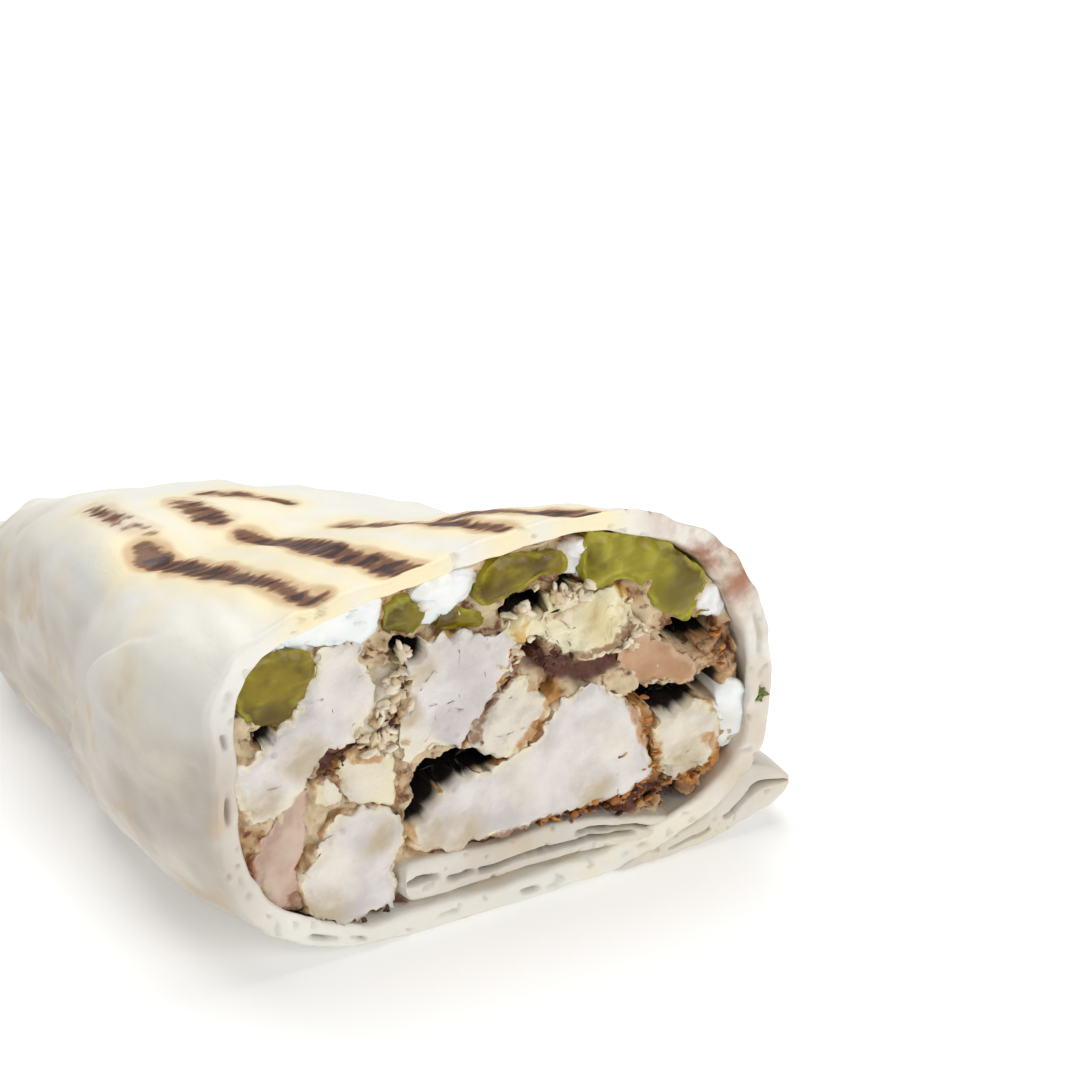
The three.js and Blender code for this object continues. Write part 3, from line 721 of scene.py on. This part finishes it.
def layered_strip(name, lower, upper, depths, run, gap_at, gap_width, seed, front=0.0):
    """A strip of bread between two curves of the cut, run back along the roll."""
    place, opened = strip_face(lower, upper, gap_at, gap_width, seed)
    place[..., 1] += front
    across, thick = opened.shape
    index = np.arange(across * thick).reshape(across, thick)
    loop = np.concatenate([index[:, 0], index[-1, 1:], index[-2::-1, -1], index[0, -2:0:-1]])
    points = [place.reshape(-1, 3)]
    rim_points = points[0][loop]
    faces = []
    a, b = index[:-1, :-1].ravel(), index[1:, :-1].ravel()
    faces.extend(np.stack([a, b, b + 1, a + 1], 1).tolist())
    previous = loop
    for row, depth in enumerate(depths):
        x, z = run(rim_points[:, 0], rim_points[:, 2], depth)
        points.append(np.stack([x, np.full(len(x), depth), z], 1))
        ring = across * thick + row * len(loop) + np.arange(len(loop))
        faces.extend(np.stack([previous, np.roll(previous, -1), np.roll(ring, -1), ring], 1).tolist())
        previous = ring
    faces.append(previous.tolist())
    points = np.concatenate(points)
    points[:, 1] += CUT
    strip = make_object(name, points, faces)
    pocket = np.zeros(len(points))
    pocket[:across * thick] = opened.ravel()
    plain = dict.fromkeys(("char", "toast", "halo", "spice", "tan"), np.zeros(len(points)))
    warmth = np.full(len(points), STRIP_WARMTH)
    write_attributes(strip, {"pocket": pocket, "underside": warmth, **plain})
    return strip


FOLD_LOWER = mm([[-12.5, 7], [-12.1, 5.4], [-10.8, 4.6], [-6, 4.5], [0, 4.6], [6, 4.6], [12, 4.3],
                 [17, 3.7], [21, 3], [24, 2.6]])
FOLD_UPPER = mm([[-12.5, 7.4], [-12.2, 9.3], [-10.6, 10], [-6, 9.6], [0, 9], [6, 9.3], [12, 8.7],
                 [17, 7.4], [21, 6.3], [24, 5.3]])
FLAP_LOWER = mm([[16, 0.2], [20, 0.1], [25, 0.2], [30, 0.7], [34, 1.9], [37.6, 2.9], [39.6, 4.2],
                 [40.4, 5.6]])
FLAP_UPPER = mm([[16, 0.5], [20, 2], [25, 3], [28.6, 4.6], [31.4, 7], [33.8, 9.8], [38, 8.2], [40.4, 6.4]])


def build_bread_edges(material):
    """The sheet's folded inner end, and its free edge outside the roll.

    Each gap between layers is [height within the strip, start and end along it], as shares.
    """
    short = mm([0.9, 2, 4, 8, 16, 30])
    fold = layered_strip("flatbread_folded_end", FOLD_LOWER, FOLD_UPPER, short, carry,
                         [(0.5, 0.06, 0.3), (0.4, 0.3, 0.82), (0.64, 0.62, 0.98)], 0.075, seed=21)
    finish_piece(fold, "flatbread", material)
    free = layered_strip("flatbread_free_edge", FLAP_LOWER, FLAP_UPPER,
                         np.concatenate([mm([0.9, 2, 3.5]), np.arange(6, 44, 3) * MM]), run_flap,
                         [(0.5, 0.22, 0.97)], 0.055, seed=31, front=-0.15 * MM)
    finish_piece(free, "flatbread", material)


# ---- cut pieces ----

VOXEL = 0.36 * MM
FORWARD = 0.7 * MM  # how far a piece is pushed past its cut before the cut is made flat
ROUNDED_EDGE = 0.6 * MM

# Spiced and browned crust along the seams between pieces: [across, height] on the cut.
SAFFRON_SEAMS = [mm([[18.6, 22], [20, 17.6], [21.6, 14.6], [21.2, 11.6], [17, 9.6], [10, 9.8]]),
                 mm([[28.6, 15.4], [30.2, 12.8], [29.6, 10.2], [26, 9.4]]),
                 mm([[-21.6, 25.4], [-19, 26.2], [-15, 25]]), mm([[7.4, 26], [5, 23.2], [3, 21.6]])]
BROWNED_SEAMS = [mm([[9.6, 9.7], [16, 9], [21, 8.8], [27, 8.4]]),
                 mm([[5.6, 31.6], [8, 29.6], [11.6, 28.2], [15, 29]]),
                 mm([[3.4, 34], [1.8, 30.8], [-3, 24.2]]),
                 mm([[5, 34.4], [9.2, 30.6], [15, 31.2], [18, 32.4]]),
                 mm([[-26, 9.4], [-25, 5.4], [-21, 3.2], [-13, 3.8]]),
                 mm([[-17.4, 27], [-22.6, 24.8]]), mm([[-2, 9.6], [5, 10], [10, 9.6]])]

# Hollows that open between the pieces, with their shadow painted nearly black: [across, height, radius] and
# how deep they run.
HOLLOWS = mm([[-11, 16.4, 1.2], [-9.6, 18.4, 1.5], [-9.4, 20.8, 1.9], [-6.8, 21.2, 2.2], [-3.8, 21, 1.6],
              [-1.4, 20.4, 0.9], [18.4, 24, 1], [20.6, 23.2, 1.4], [21.5, 21.7, 1.1], [23, 22.3, 1.5],
              [25.4, 21.9, 1.2], [22.8, 31.2, 1.3], [25.4, 30.2, 1.6], [27.8, 30.5, 1.3], [30.4, 27, 1],
              [28.4, 22.8, 1.5], [-13, 38.6, 1.3], [-11, 38, 1.2], [1.8, 39.8, 1.3], [5, 39.6, 1.4],
              [4.4, 34, 1], [6.4, 28.4, 1], [-29.4, 31.8, 1.1], [8.6, 40.6, 1.2], [23.6, 8.4, 1.1],
              [20.6, 8.6, 0.9], [14, 9.4, 0.7]])
HOLLOW_DEPTH = 17 * MM
HOLLOW_SLOPE = 0.5  # hollows run back down and to the right by this share of their depth
HOLLOW_RUN = 6 * MM  # but no further than this depth
PIECE_HOLLOW_DEPTH = 7 * MM
# Darker parts of the cut faces, where shade is painted: [across, height, radius].
STAINS = mm([[-9.4, 13.6, 4.2], [-5, 12, 3], [-11.4, 30, 2], [-9.6, 34.6, 1.6], [-24, 27.4, 3],
             [-29, 23, 2.4], [12.6, 12.4, 2.6], [-22.6, 7, 3], [-15, 14.6, 2.4], [25.6, 13, 2.6],
             [24, 36.4, 3], [-28, 33.4, 1.6]])


def stain_mask(place):
    """How strongly shade is painted on the cut faces."""
    wobble = 0.8 * MM * noise(place, 3 * MM, seed=47)
    mask = np.zeros(place.shape[:-1])
    for across, up, radius in STAINS:
        away = np.hypot(place[..., 0] - across, place[..., 2] - up) + wobble
        mask = np.maximum(mask, ramp(away, radius * 1.5, radius * 0.4))
    return mask


def hollow_mask(place, depth):
    """Where a hollow runs back from the cut: 1 in its middle and 0 outside it."""
    wobble = 0.5 * MM * noise(place, 2.2 * MM, seed=41)
    run = np.clip(depth, 0, HOLLOW_RUN)
    mask = np.zeros(place.shape[:-1])
    for across, up, radius in HOLLOWS:
        beside = place[..., 0] - HOLLOW_SLOPE * run - across
        away = np.hypot(beside, place[..., 2] + HOLLOW_SLOPE * run - up) + wobble
        mask = np.maximum(mask, ramp(away, radius * 1.3, radius * 0.8))
    return mask


def seam_mask(place, seams, reach, seed):
    """How strongly points lie on seams of crust, in broken patches."""
    on_cut = place[..., [0, 2]]
    uneven = 0.55 * MM * noise(place, 2.4 * MM, seed=seed, octaves=3)
    mask = np.zeros(place.shape[:-1])
    for seam in seams:
        mask = np.maximum(mask, ramp(line_distance(on_cut, seam) + uneven, reach, reach * 0.35))
    return mask


def solid_copy(node, smoothing):
    """An even, slightly softened mesh of a CAD solid."""
    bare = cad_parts[node].data.copy()
    bare.materials.clear()
    rough = bpy.data.objects.new(node + "_rough", bare)
    bpy.context.scene.collection.objects.link(rough)
    remesh = rough.modifiers.new("even", "REMESH")
    remesh.mode = "VOXEL"
    remesh.voxel_size = VOXEL
    soften = rough.modifiers.new("soften", "SMOOTH")
    soften.factor = 0.5
    soften.iterations = smoothing
    depsgraph = bpy.context.evaluated_depsgraph_get()
    mesh = bpy.data.meshes.new_from_object(rough.evaluated_get(depsgraph))
    bpy.data.objects.remove(rough)
    mesh.shade_smooth()
    return mesh


def rim_shares(place, flatness, on_side):
    """How close each point of the cut face lies to its outline: 1 there, 0 well inside."""
    tree = KDTree(len(on_side))
    for i in on_side:
        tree.insert(place[i], i)
    tree.balance()
    shares = np.ones(len(place))
    if len(on_side):
        for i in np.flatnonzero(flatness > 0.5):
            shares[i] = ramp(tree.find(place[i])[2], 1.7 * MM, 0.1 * MM)
    return shares


def tear_sides(place, out, behind, ragged, fatten, number):
    """Pushes a piece's sides out unevenly and draws its front past the cut."""
    shreds = noise(place, 1.7 * MM, seed=number, octaves=3, stretch=(1, 3.5, 1))
    fray = 1 - 2 * np.abs(noise(place, 1.3 * MM, seed=number + 4, octaves=2, stretch=(1, 4, 1)))
    lumps = noise(place, 6 * MM, seed=number + 1, octaves=2)
    push = fatten + ragged * shreds + 0.7 * ragged * fray * ramp(behind, 3 * MM, 1 * MM) + 0.35 * lumps
    place += out * (1, 0, 1) * (push * MM)[:, None]
    for axis, shift in ((0, 5), (2, 6)):
        place[:, axis] += 0.5 * MM * noise(place, 5 * MM, seed=number + shift, octaves=2)
        place[:, axis] += ragged * 1.3 * MM * noise(place, 1.4 * MM, seed=number + shift + 2, octaves=2)
    place[:, 1] -= FORWARD * ramp(behind, 3 * MM, 0)


def cut_relief(place, rough, flakes, number):
    """How far the cut face lies behind the cut: bulges, fine grain, flakes and a slight slope."""
    relief = rough * MM * (1.1 * noise(place, 5 * MM, seed=number + 2, octaves=3) + 0.4)
    relief += 0.09 * MM * noise(place, 1.0 * MM, seed=number + 3, octaves=2, stretch=(2.4, 1, 1))
    layer = 2.2 * noise(place, 3.4 * MM, seed=number + 8, octaves=3, stretch=(1.6, 1, 1))
    relief += flakes * MM * (np.floor(layer) + ramp(layer % 1, 0.6, 1.0))
    slope = np.random.default_rng(number).uniform(-0.05, 0.05, 2)
    middle = place.mean(axis=0)
    return relief + (place[:, 0] - middle[0]) * slope[0] + (place[:, 2] - middle[2]) * slope[1]


def seed_mounds(place, seeds):
    """Where the seeds of a slice swell out of its face."""
    mounds = np.zeros(len(place))
    for x, z, size in seeds:
        away = np.hypot((place[:, 0] - x * MM) * 1.6, place[:, 2] - z * MM) / (size * MM)
        mounds = np.maximum(mounds, np.exp(-(away ** 4)))
    return mounds


def cut_piece(node, slot, material, ragged, rough, fatten=0.35, smoothing=2, flakes=0.0, seeds=()):
    """A piece of filling: torn sides that run back, and a face cut across at the front."""
    piece = bpy.data.objects.new(node + "_cut", solid_copy(node, smoothing))
    bpy.context.scene.collection.objects.link(piece)
    place = read_vectors(piece.data.vertices, "co")
    out = read_vectors(piece.data.vertex_normals, "vector")
    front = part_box(node)[0].y
    number = sum(map(ord, node)) % 97  # gives each piece its own unevenness
    behind = place[:, 1] - front
    tear_sides(place, out, behind, ragged, fatten, number)
    mounds = seed_mounds(place, seeds)
    plane = front + cut_relief(place, rough, flakes, number) - 0.25 * MM * mounds
    place[:, 1] = np.maximum(place[:, 1], plane)
    above = place[:, 1] - plane
    flatness = ramp(above, 0.5 * MM, 0.1 * MM)
    on_side = np.flatnonzero((above > 0.15 * MM) & (behind < 2.2 * MM))
    near_front = ramp(behind, 5 * MM, 1 * MM)
    edge = rim_shares(place, flatness, on_side)
    opened = hollow_mask(place, place[:, 1] - CUT)
    place[:, 1] += ROUNDED_EDGE * edge ** 2 * flatness + PIECE_HOLLOW_DEPTH * opened * near_front
    move_points(piece, place)
    write_attributes(piece, {
        "face": flatness, "rim": edge, "seed": mounds * flatness,
        # painted shadow on the sides of a piece inside a hollow
        "hollow": opened * ramp(behind, 16 * MM, 10 * MM),
        # painted shade on the darker parts of the cut face
        "stain": 0.8 * stain_mask(place) * flatness,
        "saffron": seam_mask(place, SAFFRON_SEAMS, 1.5 * MM, 51) * near_front,
        "browned": seam_mask(place, BROWNED_SEAMS, 1.3 * MM, 52) * near_front,
    })
    return finish_piece(piece, slot, material, node)


def build_chicken():
    """The sixteen pieces of roast chicken that show at the cut."""
    tones = {  # cut face, its shade, lighter edge, browned outside and amount of spice
        "white": ((229, 223, 219), (202, 195, 193), (242, 232, 206), (206, 164, 112), 0.5),
        "cream": ((228, 220, 204), (214, 204, 190), (240, 228, 192), (198, 150, 92), 0.8),
        "flaky": ((232, 224, 192), (218, 200, 150), (244, 234, 196), (214, 170, 92), 0.5),
        "tan": ((198, 158, 122), (178, 134, 94), (214, 182, 150), (150, 98, 58), 0.4),
        "browned": ((196, 148, 102), (166, 112, 70), (214, 176, 128), (128, 76, 42), 1.0),
        "dark": ((120, 68, 50), (96, 52, 40), (150, 92, 64), (84, 44, 32), 0.6),
        "pink": ((194, 160, 144), (212, 192, 172), (216, 186, 168), (184, 122, 84), 0.3),
    }
    finishes = {name: chicken_finish("chicken_" + name, *tone) for name, tone in tones.items()}
    settings = {  # finish, raggedness of the edge, roughness and flakes of the face, all in mm
        "long_slab": ("white", 0.45, 0.5, 0), "crumbly": ("cream", 0.6, 1.0, 0.7),
        "centre_block": ("white", 0.55, 0.5, 0), "centre_shred": ("cream", 0.45, 0.7, 0.5),
        "large_slab": ("white", 0.42, 0.55, 0), "right_lump": ("cream", 0.45, 0.6, 0.4),
        "tan_block": ("tan", 0.3, 0.4, 0), "browned_shred": ("browned", 0.6, 0.9, 0.5),
        "flaked": ("flaky", 0.6, 0.6, 0.6), "dark_scrap": ("dark", 0.5, 0.8, 0.4),
        "pale_lump": ("cream", 0.3, 0.5, 0), "round_chunk": ("white", 0.42, 0.5, 0),
        "pink_strip": ("pink", 0.35, 0.6, 0), "finger": ("cream", 0.25, 0.4, 0),
        "sliver": ("tan", 0.3, 0.5, 0), "bottom_scraps": ("browned", 0.5, 0.9, 0.6),
    }
    fuller = {"flaked": 1.0, "centre_shred": 0.6, "crumbly": 0.8}
    for name, (finish, ragged, rough, flakes) in settings.items():
        fatten = fuller.get(name, 0.35)
        cut_piece("chicken_" + name, "chicken", finishes[finish], ragged, rough, fatten, flakes=flakes)


def build_pickles():
    """Seven pieces of pickled cucumber."""
    olive = pickle_finish("pickle_olive", (134, 116, 4), (94, 74, 2), (176, 166, 40))
    green = pickle_finish("pickle_green", (144, 132, 10), (100, 84, 4), (184, 178, 56))
    dull = pickle_finish("pickle_dull", (126, 112, 20), (92, 76, 10), (176, 168, 66))
    big_seeds = ((14.4, 44, 1.3), (17.4, 43.6, 1.4), (16, 41.4, 1.1), (20.2, 41.8, 1.5), (22.6, 38.6, 1.4))
    settings = {  # finish, raggedness in mm and seeds [across, height, size] in mm
        "left_wedge": (olive, 0.15, ()), "small_wedge": (dull, 0.2, ()), "half_slice": (olive, 0.2, ()),
        "round_slice": (olive, 0.15, ()), "tucked_slice": (dull, 0.12, ()),
        "big_slice": (green, 0.15, big_seeds), "end_bit": (olive, 0.2, ()),
    }
    for name, (finish, ragged, seeds) in settings.items():
        cut_piece("pickle_" + name, "pickle", finish, ragged, 0.5, fatten=0.2, seeds=seeds)


def build_sauce():
    """Garlic sauce between the pieces under the crown and on the right wall."""
    white = sauce_finish()
    for side in ("left", "middle", "right"):
        cut_piece("garlic_sauce_" + side, "garlic_sauce", white, 0.2, 0.8, fatten=0.9, smoothing=6)


# ---- packed filling ----

SAUCED_SPOTS = mm([[-24, 43.4, 4], [-18, 43, 4], [-6, 44, 4], [11.2, 43, 3], [32, 18, 3], [30, 33, 3]])
BED_DEPTH = 2.0 * MM


def build_packed_filling():
    """Shredded filling behind the cut pieces, seen in the gaps and hollows between them."""
    around, rings = 300, 110
    angle = np.linspace(0, 2 * math.pi, around, endpoint=False)[None, :]
    margin = 0.5 * MM
    x, z = section(np.full((1, 1), BED_DEPTH), angle, WALL_SIDE + margin, WALL_TOP + margin, FLOOR + margin)
    size = np.linspace(0.004, 1, rings)[:, None]
    middle_x, middle_z = 0.0, 24 * MM
    flat_x = middle_x + (x - middle_x) * size
    flat_z = middle_z + (z - middle_z) * size
    place = np.stack([flat_x, np.zeros_like(flat_x), flat_z], -1)
    hollow = hollow_mask(place, BED_DEPTH)
    depth = BED_DEPTH + 1.3 * MM * noise(place, 2.4 * MM, seed=42, octaves=4)
    depth += 0.3 * MM * noise(place, 0.9 * MM, seed=43, octaves=2) + HOLLOW_DEPTH * hollow
    place[..., 1] = depth
    backs = mm([6, 12, 22, 34, 46, 58, 68, 75])[:, None]
    x_back, z_back = section(backs, angle, WALL_SIDE + margin, WALL_TOP + margin, FLOOR + margin)
    back = np.stack([x_back, np.broadcast_to(backs, x_back.shape), z_back], -1)
    place = np.concatenate([place, back])
    count = len(place)
    flat = place.reshape(-1, 3)
    masks = {"saffron": seam_mask(flat, SAFFRON_SEAMS, 2.4 * MM, 44), "sauced": np.zeros(len(flat)),
             "browned": seam_mask(flat, BROWNED_SEAMS, 2.2 * MM, 45), "hollow": np.zeros(len(flat))}
    for spot_x, spot_z, radius in SAUCED_SPOTS:
        away = np.hypot(flat[:, 0] - spot_x, flat[:, 2] - spot_z)
        masks["sauced"] = np.maximum(masks["sauced"], ramp(away, radius, radius * 0.7))
    # painted shadow: the hollows in the front face are coloured nearly black
    masks["hollow"][:hollow.size] = hollow.ravel()
    flat[:, 1] += CUT
    bed = make_object("packed_filling_shreds", flat, tube_faces(count, around))
    write_attributes(bed, masks)
    finish_piece(bed, "packed_filling", bed_finish(), "packed_filling")


# ---- crumbs ----

def scatter(name, seams, count, sizes, material, seed, front=0.6):
    """Loose crumbs along seams of the cut, joined as one piece."""
    random = np.random.default_rng(seed)
    ball = bmesh.new()
    bmesh.ops.create_icosphere(ball, subdivisions=2, radius=1)
    ball_points = np.array([v.co for v in ball.verts])
    ball_faces = np.array([[v.index for v in f.verts] for f in ball.faces])
    ball.free()
    points, faces, shades = [], [], []
    lengths = np.array([np.linalg.norm(np.diff(seam[:, :2], axis=0), axis=1).sum() for seam, _ in seams])
    for number in range(count):
        seam, spread = seams[random.choice(len(seams), p=lengths / lengths.sum())]
        at = random.uniform(0, len(seam) - 1)
        start = min(int(at), len(seam) - 2)
        spot = seam[start] + (seam[start + 1] - seam[start]) * (at - start)
        spot = spot + random.normal(0, spread, 2) * MM
        size = random.uniform(*sizes) * MM
        lumpy = ball_points * (1 + 0.6 * noise(ball_points, 0.8, seed=number % 23, octaves=2))[:, None]
        flake = (1, random.uniform(0.45, 0.9), random.uniform(0.25, 0.5))
        lumpy = lumpy * flake @ np.array(random_turn(random))
        middle = np.array([spot[0], CUT + (front + random.uniform(-0.2, 0.9)) * MM, spot[1]])
        faces.append(ball_faces + len(ball_points) * number)
        points.append(lumpy * size + middle)
        shades.append(np.full(len(ball_points), random.uniform(0, 1)))
    crumbs = make_object(name, np.concatenate(points), np.concatenate(faces))
    write_attributes(crumbs, {"shade": np.concatenate(shades)})
    return finish_piece(crumbs, "chicken", material)


def random_turn(random):
    axis = Vector(random.normal(size=3))
    return Matrix.Rotation(random.uniform(0, 2 * math.pi), 3, axis.normalized())


def build_crumbs():
    """Crumbs of chicken, spice and char in the seams of the cut, and herb on the bread's edge."""
    cream = crumb_finish("crumb_cream", colour(243, 234, 214), colour(220, 196, 158))
    spiced = crumb_finish("crumb_spiced", colour(206, 142, 62), colour(150, 84, 36))
    burnt = crumb_finish("crumb_burnt", colour(104, 60, 36), colour(46, 26, 20))
    scatter("crumbs_torn", [
        (mm([[-12.6, 37.6], [-12, 33], [-14, 29]]), 1.1),
        (mm([[-18, 28], [-15.4, 26.4], [-13.6, 25]]), 0.7),
        (mm([[2, 38.6], [8, 39], [12, 38.6]]), 0.9),
        (mm([[16, 31], [19.6, 32]]), 0.8), (mm([[1, 31], [3.6, 34]]), 0.7)], 130, (0.4, 1.05), cream, 5)
    scatter("crumbs_spiced", [
        (mm([[19.8, 21], [21.2, 16], [20.6, 11]]), 0.7), (mm([[4, 9.8], [14, 9.9], [27, 10.2]]), 0.6),
        (mm([[-16, 27], [-13.8, 27]]), 0.6), (mm([[1.6, 30], [2.8, 34]]), 0.6),
        (mm([[29.4, 29], [30.6, 25]]), 0.4), (mm([[29.4, 14], [28.4, 11]]), 0.5)],
        120, (0.25, 0.65), spiced, 6)
    scatter("crumbs_burnt", [
        (mm([[8, 9.4], [18, 9.6], [28, 10.6]]), 0.6), (mm([[-22, 4.4], [-14, 4.8]]), 0.4),
        (mm([[-14, 27.6], [-12.2, 31], [-11, 35]]), 0.5), (mm([[4, 32], [14, 30.6]]), 0.7),
        (mm([[-22, 25], [-18, 26.4]]), 0.5)], 90, (0.2, 0.5), burnt, 7)
    green = crumb_finish("crumb_herb", colour(128, 138, 62), colour(70, 82, 34))
    scatter("crumbs_herb", [(mm([[35.6, 21.6], [36, 18.8]]), 0.25)], 9, (0.4, 0.8), green, 8, front=0.1)


# ---- stage, light and camera ----

def build_stage():
    """A plain pale floor and soft studio light."""
    reach = 1.5
    floor = make_object("floor", [(-reach, -reach, 0), (reach, -reach, 0), (reach, reach, 0),
                                  (-reach, reach, 0)], [(0, 1, 2, 3)])
    pale = Finish("floor_pale", Roughness=0.7, Emission_Strength=0.2)
    shade = pale.mottle(0.4, detail=2.0)
    pale.feed("Base Color", pale.blend(colour(250, 250, 250), colour(246, 246, 246), shade))
    floor.data.materials.append(pale.material)
    world = bpy.data.worlds.new("soft_daylight")
    world.use_nodes = True
    world.node_tree.nodes["Background"].inputs["Color"].default_value = (0.97, 0.98, 1.0, 1)
    world.node_tree.nodes["Background"].inputs["Strength"].default_value = 0.35
    bpy.context.scene.world = world
    soft_light("light_above", (0.0, 0.2, 0.78), width=0.7, power=4.8)
    soft_light("light_front", (0.24, -0.8, 0.42), width=0.5, power=3.0)


def soft_light(name, place, width, power):
    lamp = bpy.data.lights.new(name, "AREA")
    lamp.size = width
    lamp.energy = power
    lamp.color = (1.0, 0.99, 0.97)
    holder = bpy.data.objects.new(name, lamp)
    holder.location = place
    holder.rotation_euler = (Vector((0, 0, 0.02)) - holder.location).to_track_quat("-Z", "Y").to_euler()
    bpy.context.scene.collection.objects.link(holder)


CAMERA_AZIMUTH = math.radians(-29)
CAMERA_ELEVATION = math.radians(27)
CAMERA_DISTANCE = 335 * MM
CAMERA_AIM = Vector((5.24 * MM, CUT, 47.67 * MM))


def build_camera():
    lens = bpy.data.cameras.new("camera")
    lens.lens = 100
    lens.sensor_width = 36
    lens.clip_start = 0.01
    camera = bpy.data.objects.new("camera", lens)
    level = math.cos(CAMERA_ELEVATION)
    back = Vector((math.sin(CAMERA_AZIMUTH) * level, -math.cos(CAMERA_AZIMUTH) * level,
                   math.sin(CAMERA_ELEVATION)))
    camera.location = CAMERA_AIM + back * CAMERA_DISTANCE
    camera.rotation_euler = (-back).to_track_quat("-Z", "Y").to_euler()
    bpy.context.scene.collection.objects.link(camera)
    bpy.context.scene.camera = camera
    bpy.context.scene.view_settings.view_transform = "Standard"


build_camera()
build_stage()
bread = bread_finish()
build_roll(bread)
build_bread_edges(bread)
build_packed_filling()
build_chicken()
build_pickles()
build_sauce()
build_crumbs()
